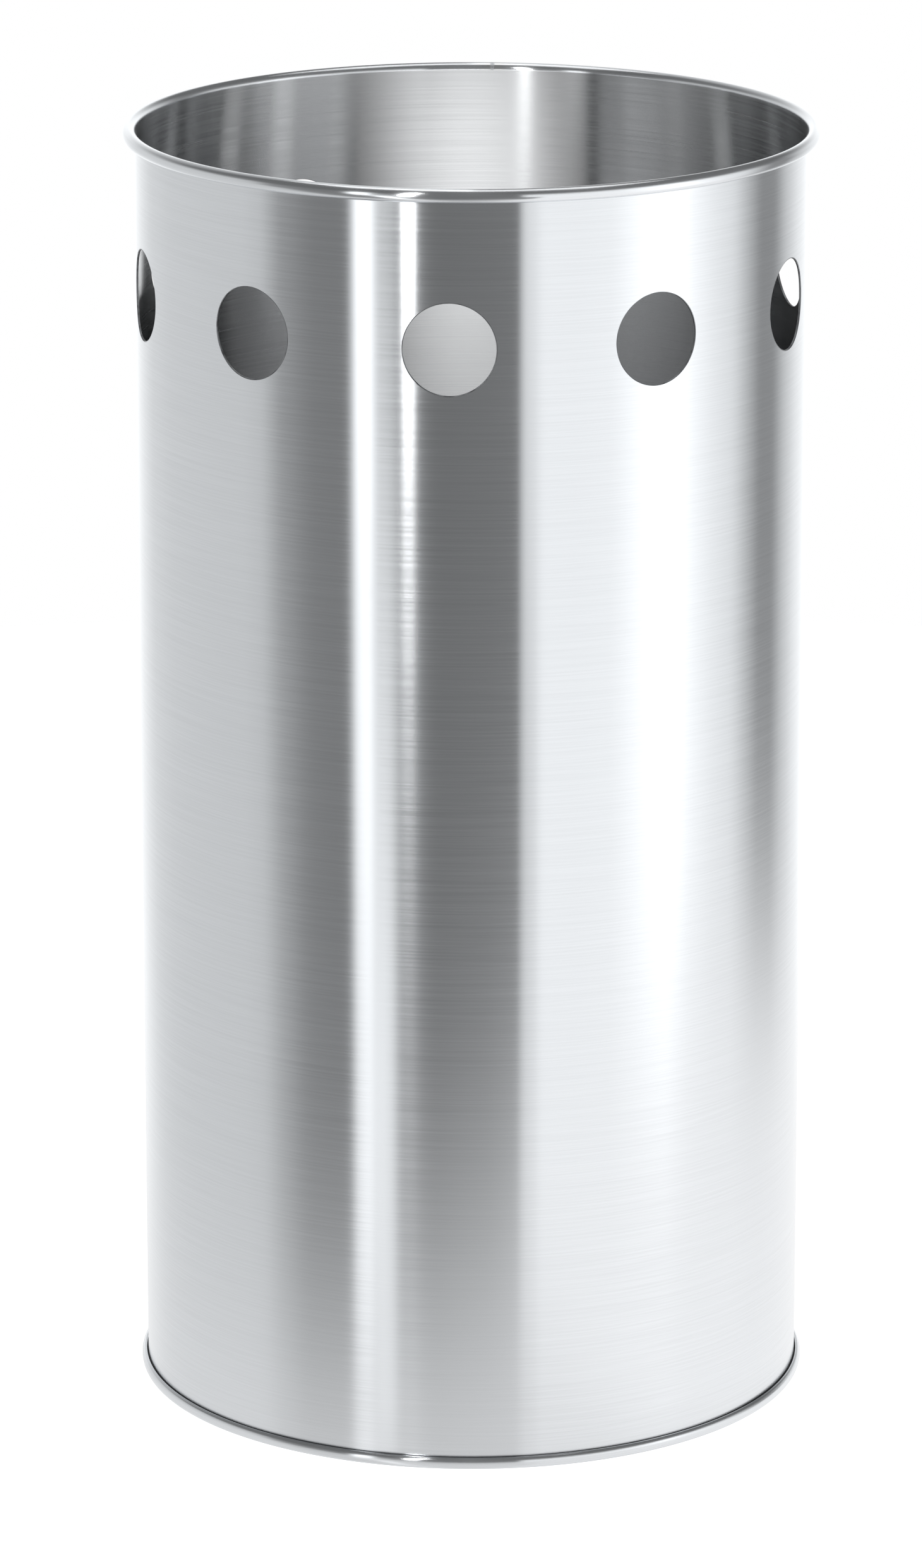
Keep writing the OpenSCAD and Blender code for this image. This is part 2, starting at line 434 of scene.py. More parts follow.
@dataclass(frozen=True)
class BrightMetal(Finish):
    """Small turned, drawn or plated metal part: zinc, aluminium or steel wire."""

    light: Colour = (0.80, 0.80, 0.79, 1.0)
    dark: Colour = (0.55, 0.55, 0.56, 1.0)
    roughness: float = 0.32
    flake: float = 900.0

    def make(self) -> bpy.types.Material:
        """Makes the material and returns it."""
        material, graph, shader = self._start()
        cells = graph.add(
            "ShaderNodeTexVoronoi", {"Vector": graph.place(), "Scale": self.flake}
        ).outputs["Distance"]
        grime = graph.noise(graph.place(), 260.0, 4.0, 0.6)
        tone = graph.range(grime, 0.42, 0.7, 0.0, 1.0, smooth=True)
        colour = graph.blend(tone, self.light, self.dark)
        rough = graph.math(
            "ADD",
            graph.range(cells, 0.0, 0.8, self.roughness - 0.06, self.roughness + 0.06),
            graph.math("MULTIPLY", tone, 0.14),
        )
        inputs = self._join(graph, shader, colour, rough, graph.bump(cells, 0.25, 0.00003))
        inputs["Metallic"].default_value = 1.0
        return material


@dataclass(frozen=True)
class Rubber(Finish):
    """Moulded black rubber with a fine sandy skin, scuffed and dusty near the floor."""

    base: Colour = (0.022, 0.022, 0.024, 1.0)
    scuff: Colour = (0.115, 0.112, 0.108, 1.0)
    grain: float = 2600.0
    floor_wear: float = 0.0025

    def make(self) -> bpy.types.Material:
        """Makes the material and returns it."""
        material, graph, shader = self._start()
        skin = graph.noise(graph.place(), self.grain, 2.0, 0.6)
        patches = graph.noise(graph.place(), 240.0, 5.0, 0.65)
        height = graph.add("ShaderNodeSeparateXYZ", {"Vector": graph.place()}).outputs["Z"]
        low = graph.range(height, 0.0, self.floor_wear, 1.0, 0.0, smooth=True)
        worn = graph.math("MULTIPLY", graph.range(patches, 0.42, 0.68, 0.15, 1.0, smooth=True), low)
        speckle = graph.range(patches, 0.55, 0.8, 0.0, 0.3, smooth=True)
        dust = graph.math("MAXIMUM", worn, speckle)
        colour = graph.blend(dust, self.base, self.scuff)
        rough = graph.range(skin, 0.3, 0.7, 0.58, 0.78)
        inputs = self._join(graph, shader, colour, rough, graph.bump(skin, 0.5, 0.00006))
        inputs["Specular IOR Level"].default_value = 0.4
        return material


@dataclass(frozen=True)
class MouldedPlastic(Finish):
    """Injection-moulded plastic: a pebbled skin, with fine scratches where tips stand."""

    base: Colour = (0.33, 0.34, 0.35, 1.0)
    worn: Colour = (0.42, 0.42, 0.42, 1.0)
    pebble: float = 1500.0

    def make(self) -> bpy.types.Material:
        """Makes the material and returns it."""
        material, graph, shader = self._start()
        cells = graph.add(
            "ShaderNodeTexVoronoi",
            {"Vector": graph.place(), "Scale": self.pebble},
            feature="SMOOTH_F1",
        ).outputs["Distance"]
        scratch_a = graph.noise(graph.place((30.0, 900.0, 30.0)), 1.0, 2.0, 0.5)
        scratch_b = graph.noise(graph.place((1100.0, 40.0, 40.0)), 1.0, 2.0, 0.5)
        marks = graph.math(
            "MAXIMUM",
            graph.range(scratch_a, 0.66, 0.72, 0.0, 0.5),
            graph.range(scratch_b, 0.67, 0.73, 0.0, 0.5),
        )
        shine = graph.noise(graph.place(), 22.0, 4.0, 0.6)
        facing = graph.add("ShaderNodeNewGeometry").outputs["Normal"]
        upward = graph.add("ShaderNodeSeparateXYZ", {"Vector": facing}).outputs["Z"]
        on_floor = graph.math("MULTIPLY", marks, graph.range(upward, 0.7, 0.95, 0.0, 1.0))
        dusty = graph.math("MULTIPLY", graph.range(shine, 0.45, 0.75, 0.0, 0.22, smooth=True),
                           graph.range(upward, 0.2, 0.9, 0.2, 1.0))
        colour = graph.blend(graph.math("MAXIMUM", on_floor, dusty), self.base, self.worn)
        rough = graph.math("ADD", graph.range(shine, 0.3, 0.7, 0.40, 0.50),
                           graph.math("MULTIPLY", on_floor, 0.15))
        inputs = self._join(graph, shader, colour, rough, graph.bump(cells, 0.35, 0.00008))
        inputs["Specular IOR Level"].default_value = 0.5
        return material


# ---------------------------------------------------------------- the pieces


class TubeFinish(Enum):
    """Numbers of the finishes on the tube."""

    OUTSIDE = 0
    INSIDE = 1
    CUT_EDGE = 2


@dataclass
class Tube:
    """Rolled sheet tube: a wall with punched holes, a rim rolled round a wire, a flange."""

    hole_places: int = 10
    blank_place: int = 5
    hole_r: float = 17.5 * MM
    hole_drop: float = 61 * MM
    sheet_t: float = 0.8 * MM
    first_hole: float = -math.pi / 2
    side_steps: int = 24
    curl_end: float = -115.0
    flange_bend: float = 0.9 * MM
    piece: bpy.types.Object | None = None

    def __post_init__(self) -> None:
        """Reads the sizes of the sheet and the rim from the frame."""
        low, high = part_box("body_shell")
        wire_low, wire_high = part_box("rim_wire")
        gasket_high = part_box("edge_gasket")[1]
        self.top_z = high.z
        self.low_z = low.z
        wire_r = (wire_high.z - wire_low.z) / 2
        self.curl_centre = (wire_high.x - wire_r, (wire_high.z + wire_low.z) / 2)
        self.curl_out_r = high.z - self.curl_centre[1]
        self.bore_r = self.curl_centre[0] - self.curl_out_r
        self.curl_in_r = self.curl_out_r - self.sheet_t
        self.body_r = self.bore_r + self.sheet_t
        self.flange_r = gasket_high.x - 0.5 * MM
        self.hole_z = self.top_z - self.hole_drop
        self.half_angle = math.pi / self.hole_places
        self.half_height = self.body_r * self.half_angle
        self.columns = self.hole_places * self.side_steps
        self.first_column = self.first_hole - self.half_angle

    @property
    def seam_angle(self) -> float:
        """Angle of the side weld, which crosses the place at the back without a hole."""
        return self.first_hole + 2 * self.blank_place * self.half_angle

    def _on_cylinder(self, radius: float, angle: np.ndarray, height: np.ndarray) -> np.ndarray:
        """Points at a radius, with angles and heights of the same shape."""
        return np.stack([radius * np.cos(angle), radius * np.sin(angle), height], axis=-1)

    def _hole_loop(self, middle: float, reach: float, radius: float) -> tuple[np.ndarray, np.ndarray]:
        """Angle and height of the points round one hole.

        Args:
            middle: angle of the hole's centre.
            reach: distance of the points from the hole's axis.
            radius: distance of the points from the tube's axis.

        Returns:
            The angles and the heights.
        """
        turn = -math.pi / 4 + full_turn(4 * self.side_steps)
        return middle + np.arcsin(reach * np.cos(turn) / radius), self.hole_z + reach * np.sin(turn)

    def _square_loop(self, middle: float) -> tuple[np.ndarray, np.ndarray]:
        """Angle and height of the points on the square round one hole."""
        steps = np.arange(self.side_steps) / self.side_steps
        rising = -1.0 + 2.0 * steps
        ones = np.ones(self.side_steps)
        across = np.concatenate([ones, -rising, -ones, rising])
        upward = np.concatenate([rising, ones, -rising, -ones])
        return middle + across * self.half_angle, self.hole_z + upward * self.half_height

    def _draw_hole(self, draft: MeshDraft, middle: float) -> None:
        """Draws one hole: its rounded edge and the sheet round it, inside and outside.

        Args:
            draft: the mesh.
            middle: angle of the hole's centre.
        """
        edge = [(0.34, 0.0), (0.22, 0.012), (0.12, 0.045), (0.045, 0.11), (0.0, 0.22), (0.0, 0.42),
                (0.0, 0.62), (0.03, 0.70), (0.09, 0.77), (0.18, 0.80)]
        rows = []
        for extra, depth in edge:
            radius = self.body_r - depth * MM
            angle, height = self._hole_loop(middle, self.hole_r + extra * MM, radius)
            rows.append(self._on_cylinder(radius, angle, height))
        draft.grid(np.array(rows), TubeFinish.CUT_EDGE.value, closed=True, flip=True)
        square_angle, square_height = self._square_loop(middle)
        shares = (0.0, 0.03, 0.09, 0.19, 0.34, 0.53, 0.76, 1.0)
        sheets = (
            (self.body_r, edge[0][0], TubeFinish.OUTSIDE),
            (self.bore_r, edge[-1][0], TubeFinish.INSIDE),
        )
        for radius, extra, finish in sheets:
            angle, height = self._hole_loop(middle, self.hole_r + extra * MM, radius)
            rows = [
                self._on_cylinder(
                    radius,
                    angle * (1 - share) + square_angle * share,
                    height * (1 - share) + square_height * share,
                )
                for share in shares
            ]
            draft.grid(np.array(rows), finish.value, closed=True, flip=finish is TubeFinish.OUTSIDE)

    def _draw_blank(self, draft: MeshDraft, middle: float) -> None:
        """Draws the plain sheet, inside and outside, at the place without a hole.

        Args:
            draft: the mesh.
            middle: angle of the place's centre.
        """
        spread = np.linspace(-1.0, 1.0, self.side_steps + 1)
        angle, height = np.meshgrid(
            middle + spread * self.half_angle, self.hole_z + spread * self.half_height
        )
        draft.grid(self._on_cylinder(self.body_r, angle, height), TubeFinish.OUTSIDE.value)
        draft.grid(self._on_cylinder(self.bore_r, angle, height), TubeFinish.INSIDE.value, flip=True)

    def _draw_walls(self, draft: MeshDraft) -> None:
        """Draws the plain wall above and below the row of holes, on both sides."""
        angles = full_turn(self.columns, self.first_column)
        above = self.hole_z + self.half_height
        below = self.hole_z - self.half_height
        bands = (
            np.linspace(above, self.curl_centre[1], 5),
            np.linspace(self.low_z + self.flange_bend + self.sheet_t, below, 20),
        )
        for heights in bands:
            for radius, finish in ((self.body_r, TubeFinish.OUTSIDE), (self.bore_r, TubeFinish.INSIDE)):
                angle, height = np.meshgrid(angles, heights)
                rows = self._on_cylinder(radius, angle, height)
                draft.grid(rows, finish.value, closed=True, flip=finish is TubeFinish.INSIDE)

    def _rim_profile(self) -> Profile:
        """The rolled rim, from the inner sheet over the top and back to the outer sheet."""
        centre = self.curl_centre
        edge_r = self.sheet_t * 0.24
        middle_r = (self.curl_in_r + self.curl_out_r) / 2
        end = math.radians(self.curl_end)
        tip = (centre[0] + middle_r * math.cos(end), centre[1] + middle_r * math.sin(end))
        outer = arc(centre, self.curl_out_r, 180.0, self.curl_end + 5.0, 40)
        inner = arc(centre, self.curl_in_r, self.curl_end + 7.0, 180.0, 34)
        half = self.sheet_t / 2 - edge_r
        radial = (math.cos(end), math.sin(end))
        onward = (math.sin(end), -math.cos(end))
        cap = []
        for side in (1.0, -1.0):
            corner = (tip[0] + radial[0] * half * side - onward[0] * edge_r,
                      tip[1] + radial[1] * half * side - onward[1] * edge_r)
            turns = (15.0, 45.0, 75.0) if side > 0 else (75.0, 45.0, 15.0)
            for turn in turns:
                out, on = math.cos(math.radians(turn)) * side, math.sin(math.radians(turn))
                cap.append((corner[0] + edge_r * (radial[0] * out + onward[0] * on),
                            corner[1] + edge_r * (radial[1] * out + onward[1] * on)))
        return outer + cap + inner

    def _flange_profile(self) -> Profile:
        """The flange at the bottom, from the outer sheet round to the inner sheet."""
        bend, sheet = self.flange_bend, self.sheet_t
        knee = (self.bore_r + sheet + bend, self.low_z + sheet + bend)
        lip = self.flange_r - 0.1 * MM
        if knee[0] > lip - 0.1 * MM:
            knee = (lip - 0.1 * MM, knee[1])
        top = self.low_z + sheet
        return (
            [(self.body_r, knee[1]), (self.body_r + 0.03 * MM, top + 0.3 * MM)]
            + [(self.body_r + 0.25 * MM, top), (lip, top), (self.flange_r, top - 0.12 * MM)]
            + [(self.flange_r, self.low_z + 0.12 * MM), (lip, self.low_z)]
            + [(self.bore_r + 0.7 * MM, self.low_z), (self.bore_r + 0.2 * MM, self.low_z + 0.2 * MM)]
            + [(self.bore_r, self.low_z + 0.7 * MM), (self.bore_r, knee[1])]
        )

    def _true_normals(self, points: np.ndarray, normals: np.ndarray) -> np.ndarray:
        """Normals of the cylinders and the curl in place of the computed ones.

        Args:
            points: the mesh's points.
            normals: the computed normals.

        Returns:
            The normals to use.
        """
        result = normals.copy()
        radius = np.hypot(points[:, 0], points[:, 1])
        outward = np.stack([points[:, 0] / radius, points[:, 1] / radius, 0 * radius], axis=-1)
        near = 2e-6
        straight = (points[:, 2] < self.curl_centre[1] + near) & (points[:, 2] > self.low_z + 2 * MM)
        outside = straight & (abs(radius - self.body_r) < near)
        inside = straight & (abs(radius - self.bore_r) < near)
        result[outside] = outward[outside]
        result[inside] = -outward[inside]
        away_r, away_z = radius - self.curl_centre[0], points[:, 2] - self.curl_centre[1]
        away = np.hypot(away_r, away_z)
        for curl_r, sign in ((self.curl_out_r, 1.0), (self.curl_in_r, -1.0)):
            on_curl = (abs(away - curl_r) < near) & ~outside & ~inside
            direction = outward * (away_r / away)[:, None]
            direction[:, 2] = away_z / away
            result[on_curl] = sign * direction[on_curl]
        return result

    def build(self) -> bpy.types.Object:
        """Builds the mesh and returns the piece."""
        draft = MeshDraft("tube")
        for place in range(self.hole_places):
            draw = self._draw_blank if place == self.blank_place else self._draw_hole
            draw(draft, self.first_hole + 2 * place * self.half_angle)
        self._draw_walls(draft)
        angles = full_turn(self.columns, self.first_column)
        rim = self._rim_profile()
        draft.lathe(rim[::-1], angles, TubeFinish.OUTSIDE.value)
        draft.lathe(self._flange_profile()[::-1], angles, TubeFinish.OUTSIDE.value)
        outside = BrushedSteel("brushed_steel_outside", seam_angle=self.seam_angle).make()
        # The inside sheet is coloured darker than the outside: partly a duller mill finish, partly painted
        # shade for the dim inside of the tube.
        inside = MillSteel("mill_steel_inside_painted_shade", light=0.57, dark=0.52, roughness=0.22, stretch=1.0,
                           grain=(7.0, 7.0, 1400.0), stains=0.04).make()
        # Painted shade: the punched hole edges get a dark colour that stands for the shade on the cut walls
        # inside the holes.
        shaded_cut_edge = BrightMetal("punched_edge_painted_shade", light=(0.34, 0.35, 0.36, 1), dark=(0.18, 0.18, 0.19, 1),
                          roughness=0.42, flake=1500.0).make()
        self.piece = draft.finish([outside, inside, shaded_cut_edge], weld=3e-6)
        set_exact_normals(self.piece, self._true_normals)
        return self.piece

    def dress(self) -> None:
        """Puts the tube on its body, in the place of the plain solid."""
        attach(self.piece, STAND)
        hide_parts("body_shell")


@dataclass
class BaseRing:
    """Drawn channel ring that clamps the bottom joint, with a softly rounded outer side."""

    sheet_t: float = 0.8 * MM
    top_reach: float = 1.95 * MM
    bottom_reach: float = 6.5 * MM
    round_w: float = 1.3 * MM
    columns: int = 240
    piece: bpy.types.Object | None = None

    def __post_init__(self) -> None:
        """Reads the ring's envelope from the frame."""
        low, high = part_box("base_ring")
        self.low_z, self.high_z, self.outer_r = low.z, high.z, high.x

    def _profile(self) -> Profile:
        """The section from the inner end of the top lip, round the outside, and back inside."""
        sheet, burr = self.sheet_t, 0.12 * MM
        top_r, bottom_r = self.outer_r - self.top_reach, self.outer_r - self.bottom_reach
        half_h = (self.high_z - self.low_z) / 2
        middle_z = self.low_z + half_h
        round_r = self.outer_r - self.round_w
        outside = [
            (round_r + self.round_w * math.cos(turn), middle_z + half_h * math.sin(turn))
            for turn in np.radians(np.linspace(90.0, -90.0, 31))
        ]
        inner_r = self.outer_r - sheet
        return (
            [(top_r, self.high_z - sheet + burr), (top_r, self.high_z - burr), (top_r + burr, self.high_z)]
            + outside
            + [(bottom_r + burr, self.low_z), (bottom_r, self.low_z + burr)]
            + [(bottom_r, self.low_z + sheet - burr), (bottom_r + burr, self.low_z + sheet)]
            + [(inner_r - burr, self.low_z + sheet)]
            + [(inner_r, self.low_z + sheet + burr), (inner_r, self.high_z - sheet - burr)]
            + [(inner_r - burr, self.high_z - sheet), (top_r + burr, self.high_z - sheet)]
            + [(top_r, self.high_z - sheet + burr)]
        )

    def build(self) -> bpy.types.Object:
        """Builds the mesh and returns the piece."""
        draft = MeshDraft("clamp_ring")
        draft.lathe(self._profile()[::-1], full_turn(self.columns), 0)
        steel = BrushedSteel("ring_steel", line_pitch=0.0003, roughness=0.17, line_depth=0.000002)
        self.piece = draft.finish([steel.make()])
        return self.piece

    def dress(self) -> None:
        """Puts the ring on the stand, in the place of the plain solid."""
        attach(self.piece, STAND)
        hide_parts("base_ring")


@dataclass
class Foot:
    """Moulded rubber foot: tapered side with two fine grooves, grooved sole, recess for the washer."""

    node: str
    bore_r: float = 2.1 * MM
    sink_r: float = 5.6 * MM
    sink_h: float = 4.0 * MM
    taper: float = 1.5 * MM
    edge: float = 1.0 * MM
    groove: float = 0.45 * MM
    columns: int = 72
    piece: bpy.types.Object | None = None

    def __post_init__(self) -> None:
        """Reads the foot's envelope from the frame."""
        low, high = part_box(self.node)
        self.low_z, self.high_z = low.z, high.z
        self.centre = ((low.x + high.x) / 2, (low.y + high.y) / 2)
        self.low_r = (high.x - low.x) / 2

    def _side(self) -> Profile:
        """The tapered side from the bottom up, with its two grooves and the rounded top edge."""
        points = arc((self.low_r - self.edge, self.low_z + self.edge), self.edge, -90.0, 0.0, 8)
        span = self.high_z - self.low_z - self.edge
        top_edge = 0.5 * MM
        for share in np.linspace(0.04, 0.92, 45):
            dent = sum(
                self.groove * max(0.0, 1.0 - abs(share - middle) / 0.055) ** 0.5 for middle in (0.36, 0.62)
            )
            radius = self.low_r - self.taper * share - dent
            points.append((radius, self.low_z + self.edge + span * share))
        top_r = self.low_r - self.taper
        points += arc((top_r - top_edge, self.high_z - top_edge), top_edge, 10.0, 90.0, 6)
        return points

    def _sole(self) -> Profile:
        """The sole from the recess outwards: a flat ring with three round grooves."""
        start, end = self.sink_r + 0.5 * MM, self.low_r - self.edge - 0.4 * MM
        points = arc((self.sink_r + 0.4 * MM, self.low_z + 0.4 * MM), 0.4 * MM, 180.0, 270.0, 5)
        for share in np.linspace(0.0, 1.0, 49):
            wave = max(0.0, -math.cos(share * 6.0 * math.pi) - 0.35) / 0.65
            points.append((start + (end - start) * share, self.low_z + self.groove * wave))
        return points

    def build(self) -> bpy.types.Object:
        """Builds the mesh and returns the piece."""
        rim = 0.15 * MM
        shelf_z = self.low_z + self.sink_h
        profile = (
            [(self.bore_r, self.high_z - rim), (self.bore_r, shelf_z + rim), (self.bore_r + rim, shelf_z)]
            + [(self.sink_r - rim, shelf_z), (self.sink_r, shelf_z - rim)]
            + self._sole()
            + self._side()
            + [(self.bore_r + rim, self.high_z), (self.bore_r, self.high_z - rim)]
        )
        draft = MeshDraft("rubber_" + self.node)
        draft.lathe(profile, full_turn(self.columns), 0, self.centre)
        self.piece = draft.finish([Rubber("rubber_of_" + self.node).make()])
        return self.piece

    def dress(self) -> None:
        """Puts the foot on the stand, in the place of the plain solid."""
        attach(self.piece, STAND)
        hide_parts(self.node)


@dataclass
class CarriedOver:
    """A solid of the frame that stays as it is and takes a finish."""

    node: str
    finish: Finish

    def dress(self) -> bpy.types.Object:
        """Gives the solid its finish and returns it."""
        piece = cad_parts[self.node]
        material = self.finish.make()
        piece.data.materials.clear()
        piece.data.materials.append(material)
        return piece


# ---------------------------------------------------------------- the studio


@dataclass
class Studio:
    """Pale floor, white backdrop, soft light from panels all round, and the camera."""

    camera_turn: float = math.radians(3.65)
    camera_reach: float = 2.8
    camera_height: float = 1.029
    aim_height: float = 0.2395
    aim_left: float = 0.0041
    lens: float = 169.2
    sensor_width: float = 36.0
    sight: float = 100.0
    floor_z: float = -0.1 * MM
    sheen_z: float = -0.2 * MM
    floor_glow: float = 0.80
    floor_r: float = 1.2
    sheen_r: float = 0.85
    sheen_right: float = 0.3
    panel_lean: float = 7.0  # degrees, for what is mirrored near the floor
    card_reach: float = 0.05
    card_half: float = 0.104
    card_heights: tuple[float, float] = (0.27, 0.49)
    mirrored_only: tuple[str, ...] = ("camera", "diffuse", "transmission", "shadow")
    backdrop_r: float = 12.0

    def _axes(self) -> tuple[Vector, Vector]:
        """Level directions from the object to the camera, and to the camera's right."""
        a = self.camera_turn
        return Vector((math.sin(a), -math.cos(a), 0.0)), Vector((math.cos(a), math.sin(a), 0.0))

    def _across(self, graph: Graph, axes: bpy.types.Node) -> bpy.types.NodeSocket:
        """Distance to the right of the middle, from the separated point."""
        right = self._axes()[1]
        return graph.math(
            "ADD",
            graph.math("MULTIPLY", axes.outputs["X"], right.x),
            graph.math("MULTIPLY", axes.outputs["Y"], right.y),
        )

    def _graph_of(self, name: str) -> tuple[bpy.types.Material, Graph]:
        """A new material for the studio and its empty graph."""
        material = bpy.data.materials.new(name)
        material.use_nodes = True
        return material, Graph(material.node_tree)

    def _set_stage(self, piece: bpy.types.Object, hidden_from: Sequence[str]) -> None:
        """Hides a piece of the studio from the kinds of ray that are named."""
        for ray in hidden_from:
            setattr(piece, "visible_" + ray, False)

    def place_camera(self) -> None:
        """Adds the camera and makes it the scene's."""
        to_camera, right = self._axes()
        data = bpy.data.cameras.new("camera")
        data.lens = self.lens
        data.sensor_width = self.sensor_width
        data.clip_end = self.sight
        camera = bpy.data.objects.new("camera", data)
        camera.location = to_camera * self.camera_reach + Vector((0.0, 0.0, self.camera_height))
        target = Vector((0.0, 0.0, self.aim_height)) - right * self.aim_left
        camera.rotation_euler = (target - camera.location).to_track_quat("-Z", "Y").to_euler()
        bpy.context.scene.collection.objects.link(camera)
        bpy.context.scene.camera = camera

    def lay_floor(self) -> None:
        """Adds the round white floor, which is clear from below and which the steel doesn't mirror."""
        radii = np.concatenate([[0.0], np.geomspace(0.05, self.floor_r, 12)])
        draft = MeshDraft("floor")
        draft.lathe([(r, self.floor_z) for r in radii[::-1]], full_turn(96), 0)
        material, graph = self._graph_of("floor_paint")
        speck = graph.noise(graph.place(), 60.0, 2.0)
        colour = graph.blend(graph.range(speck, 0.3, 0.7, 0.0, 1.0), grey(0.83), grey(0.85))
        diffuse = graph.add("ShaderNodeBsdfDiffuse", {"Color": colour})
        glow = graph.add("ShaderNodeEmission", {"Color": grey(1.0), "Strength": self.floor_glow})
        total = graph.add("ShaderNodeAddShader", {0: diffuse.outputs[0], 1: glow.outputs[0]})
        clear = graph.add("ShaderNodeBsdfTransparent")
        below = graph.add("ShaderNodeNewGeometry").outputs["Backfacing"]
        sheet = graph.add("ShaderNodeMixShader", {0: below, 1: total.outputs[0], 2: clear.outputs[0]})
        graph.add("ShaderNodeOutputMaterial", {"Surface": sheet.outputs[0]})
        self._set_stage(draft.finish([material]), ["glossy"])

    def lay_sheen(self) -> None:
        """Adds the pool of light on the floor that only reflections show: it fades outwards."""
        radii = np.concatenate([[0.0], np.geomspace(0.05, self.sheen_r, 12)])
        draft = MeshDraft("floor_sheen")
        middle = self._axes()[1] * self.sheen_right
        draft.lathe([(r, self.sheen_z) for r in radii[::-1]], full_turn(96), 0, (middle.x, middle.y))
        material, graph = self._graph_of("floor_sheen")
        axes = graph.add("ShaderNodeSeparateXYZ", {"Vector": graph.place()})
        reach = graph.add(
            "ShaderNodeVectorMath", {0: graph.place(), 1: middle}, operation="DISTANCE"
        ).outputs["Value"]
        light = graph.range(self._across(graph, axes), 0.02, 0.16, 0.84, 1.02, smooth=True)
        fade = graph.range(reach, 0.16, self.sheen_r * 0.98, 0.0, 1.0, smooth=True)
        glow = graph.add("ShaderNodeEmission", {"Color": grey(1.0), "Strength": light})
        clear = graph.add("ShaderNodeBsdfTransparent")
        total = graph.add("ShaderNodeMixShader", {0: fade, 1: glow.outputs[0], 2: clear.outputs[0]})
        graph.add("ShaderNodeOutputMaterial", {"Surface": total.outputs[0]})
        self._set_stage(draft.finish([material]), self.mirrored_only)

    def hang_mouth_card(self) -> None:
        """Adds the upright card that the inside of the back wall mirrors, brightest in its middle."""
        to_camera, right = self._axes()
        rows = []
        for height in self.card_heights:
            middle = to_camera * self.card_reach + Vector((0.0, 0.0, height))
            rows.append([tuple(middle + right * (share * self.card_half)) for share in (1.0, -1.0)])
        draft = MeshDraft("mouth_card")
        draft.grid(np.array(rows), 0)
        material, graph = self._graph_of("mouth_card")
        axes = graph.add("ShaderNodeSeparateXYZ", {"Vector": graph.place()})
        off_middle = graph.math("ABSOLUTE", self._across(graph, axes))
        across = graph.range(off_middle, 0.0, self.card_half, 1.95, 0.5, smooth=True)
        upward = graph.range(axes.outputs["Z"], 0.35, 0.41, 0.5, 1.0, smooth=True)
        light = graph.math("MULTIPLY", across, upward)
        glow = graph.add("ShaderNodeEmission", {"Color": grey(1.0), "Strength": light})
        clear = graph.add("ShaderNodeBsdfTransparent")
        below = graph.add("ShaderNodeNewGeometry").outputs["Backfacing"]
        sheet = graph.add("ShaderNodeMixShader", {0: below, 1: glow.outputs[0], 2: clear.outputs[0]})
        graph.add("ShaderNodeOutputMaterial", {"Surface": sheet.outputs[0]})
        self._set_stage(draft.finish([material]), self.mirrored_only)

    def hang_backdrop(self) -> None:
        """Adds the white backdrop that closes the view on every side."""
        draft = MeshDraft("backdrop")
        profile = arc((0.0, 0.0), self.backdrop_r, -90.0, 90.0, 24)
        draft.lathe(profile, full_turn(48), 0)
        material, graph = self._graph_of("backdrop_white")
        glow = graph.add("ShaderNodeEmission", {"Color": grey(1.0), "Strength": 1.0})
        graph.add("ShaderNodeOutputMaterial", {"Surface": glow.outputs[0]})
        self._set_stage(
            draft.finish([material]), ["diffuse", "glossy", "transmission", "shadow", "volume_scatter"]
        )

    def _softbox(
        self, name: str, place: Point, target: Point, size: tuple[float, float], light: float
    ) -> None:
        """Adds one soft rectangular lamp that the camera doesn't see.

        Args:
            name: name of the lamp.
            place: where its middle is.
            target: the point that it faces.
            size: its width and height.
            light: its brightness.
        """
        data = bpy.data.lights.new(name, "AREA")
        data.shape = "RECTANGLE"
        data.size, data.size_y = size
        data.energy = 4.0 * light * size[0] * size[1]
        lamp = bpy.data.objects.new(name, data)
        lamp.location = place
        facing = Vector(target) - Vector(place)
        lamp.rotation_euler = facing.to_track_quat("-Z", "Y").to_euler()
        lamp.visible_camera = False
        bpy.context.scene.collection.objects.link(lamp)

    def _round(self, angle: float, reach: float, height: float) -> Point:
        """The point at an angle, in degrees to the right of the camera's side, and a distance."""
        to_camera, right = self._axes()
        turn = math.radians(angle)
        spot = (to_camera * math.cos(turn) + right * math.sin(turn)) * reach
        return (spot.x, spot.y, height)

    def hang_lamps(self) -> None:
        """Adds the slim upright lamp in front and the broad one overhead."""
        self._softbox("slim_lamp", self._round(-19.8, 1.1, 0.93), (0.0, 0.0, 0.93), (0.075, 1.2), 6.0)
        self._softbox("top_lamp", (0.0, 0.5, 2.4), (0.0, 0.0, 0.0), (1.6, 1.2), 0.8)

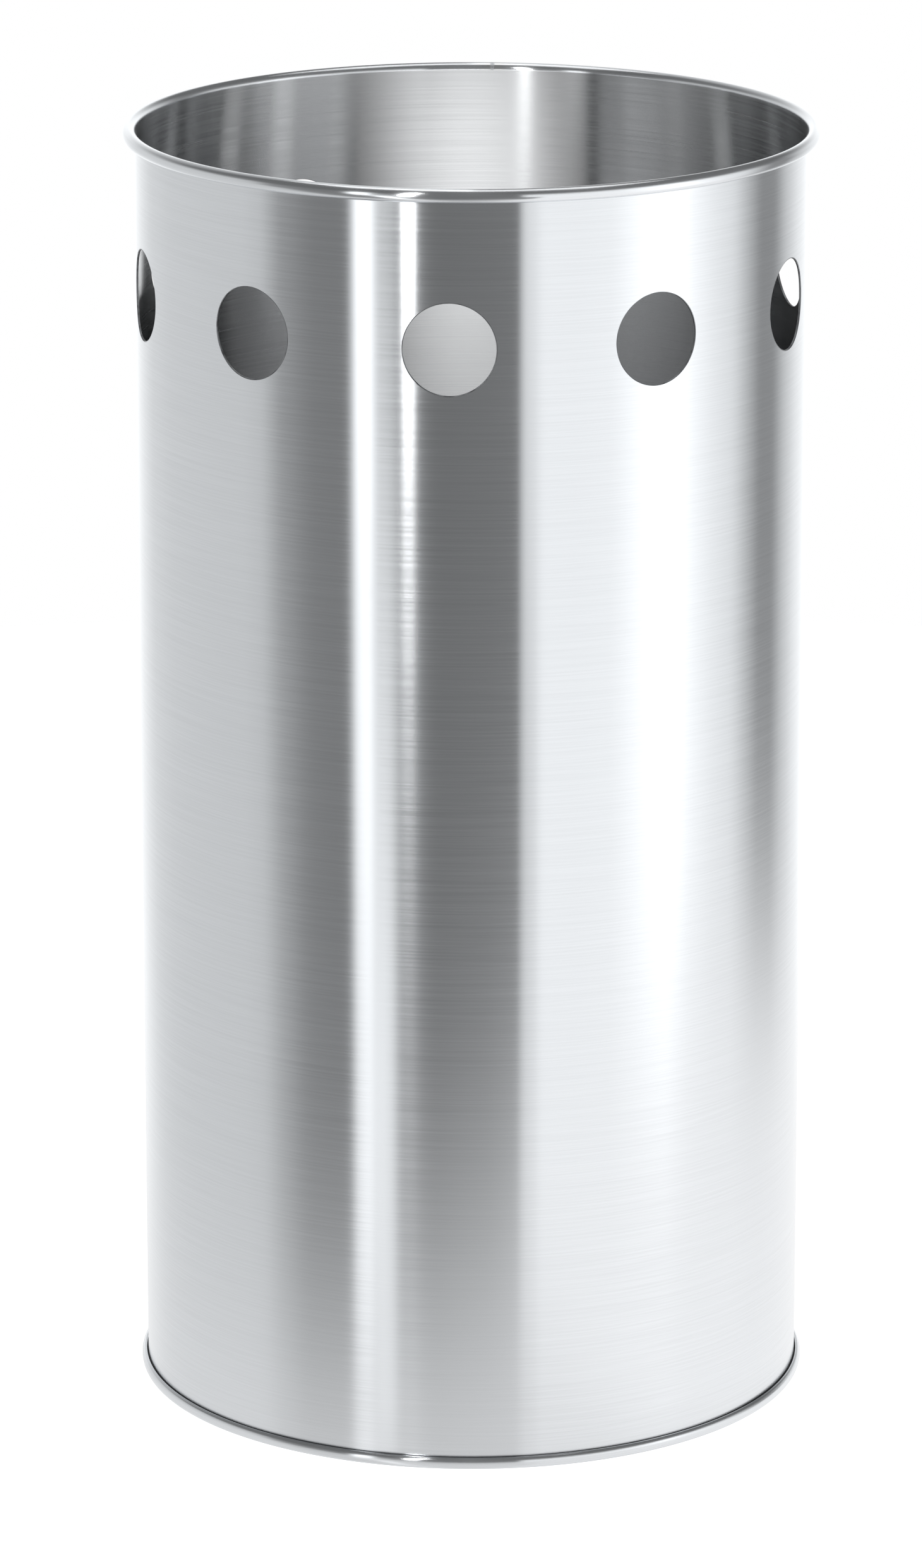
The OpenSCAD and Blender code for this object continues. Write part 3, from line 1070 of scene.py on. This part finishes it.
    def light(self) -> None:
        """Lights the scene with soft panels all round, and others overhead."""
        low = [(-180, 1.2), (-160, 1.0), (-142, 0.76), (-125, 0.70), (-84, 0.66), (-76, 0.60),
               (-68, 0.30), (-55, 0.22), (-42.5, 0.22), (-40.5, 1.0), (-39, 1.9), (-34.6, 1.9),
               (-33.2, 1.0), (-31.6, 0.45), (-28, 0.35), (-24.5, 0.24), (-19, 0.17), (16.2, 0.20),
               (17.2, 1.06), (36, 1.05), (48, 1.08), (58, 1.28), (70, 1.6), (80, 1.2), (90, 1.0),
               (100, 0.86), (109, 0.52), (116, 0.29), (126, 0.30), (135, 0.62), (148, 0.92), (165, 1.15)]
        high = [(-180, 0.7), (-120, 0.16), (-30, 0.14), (0, 0.2), (30, 0.14), (120, 0.16)]
        world = bpy.data.worlds.new("studio")
        world.use_nodes = True
        bpy.context.scene.world = world
        graph = Graph(world.node_tree)
        direction = graph.add("ShaderNodeTexCoord").outputs["Generated"]
        axes = graph.add("ShaderNodeSeparateXYZ", {"Vector": direction})
        turn = graph.math("ARCTAN2", axes.outputs["X"], graph.math("MULTIPLY", axes.outputs["Y"], -1.0))
        lean = graph.range(axes.outputs["Z"], -0.36, -0.27, self.panel_lean / 360.0, 0.0, smooth=True)
        offset = graph.math("SUBTRACT", 0.5 - self.camera_turn / (2 * math.pi), lean)
        share = graph.math("FRACT", graph.math("MULTIPLY_ADD", turn, 1 / (2 * math.pi), offset))
        tint = (0.985, 0.995, 1.0)
        rings = [
            graph.ramp(share, [((angle + 180.0) / 360.0, grey(value, tint)) for angle, value in panels])
            for panels in (low, high)
        ]
        rise = graph.range(axes.outputs["Z"], 0.12, 0.5, 0.0, 1.0, smooth=True)
        colour = graph.blend(rise, *rings)
        background = graph.add("ShaderNodeBackground", {"Color": colour, "Strength": 1.0})
        graph.add("ShaderNodeOutputWorld", {"Surface": background.outputs[0]})
        bpy.context.scene.view_settings.view_transform = "Standard"


def main() -> None:
    """Builds the pieces in order and reports each one."""
    logging.basicConfig(level=logging.INFO, format="%(name)s: %(message)s")
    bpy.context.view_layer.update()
    tube = Tube()
    tube.build()
    tube.dress()
    LOG.info("tube: %d faces", len(tube.piece.data.polygons))
    feet = ("foot_right_front", "foot_right_rear", "foot_left_rear", "foot_left_front")
    for part in [BaseRing(), *(Foot(node) for node in feet)]:
        part.build()
        part.dress()
        LOG.info("%s: %d faces", part.piece.name, len(part.piece.data.polygons))
    carried = [
        CarriedOver("rim_wire", BrightMetal("drawn_wire")),
        CarriedOver("edge_gasket", Rubber("gasket_rubber", floor_wear=0.0001)),
        CarriedOver("bottom_plate", MillSteel("pressed_plate", grain=(30.0, 500.0, 30.0), stains=0.25)),
        CarriedOver("foot_washers", BrightMetal("zinc_plate", light=(0.74, 0.75, 0.76, 1))),
        CarriedOver("foot_rivets", BrightMetal("aluminium_rivet", light=(0.83, 0.83, 0.82, 1))),
        CarriedOver("drip_tray", MouldedPlastic("tray_plastic")),
    ]
    for solid in carried:
        piece = solid.dress()
        LOG.info("%s: %d faces", piece.name, len(piece.data.polygons))
    studio = Studio()
    studio.place_camera()
    studio.lay_floor()
    studio.lay_sheen()
    studio.hang_mouth_card()
    studio.hang_backdrop()
    studio.hang_lamps()
    studio.light()


if __name__ == "__main__":
    main()
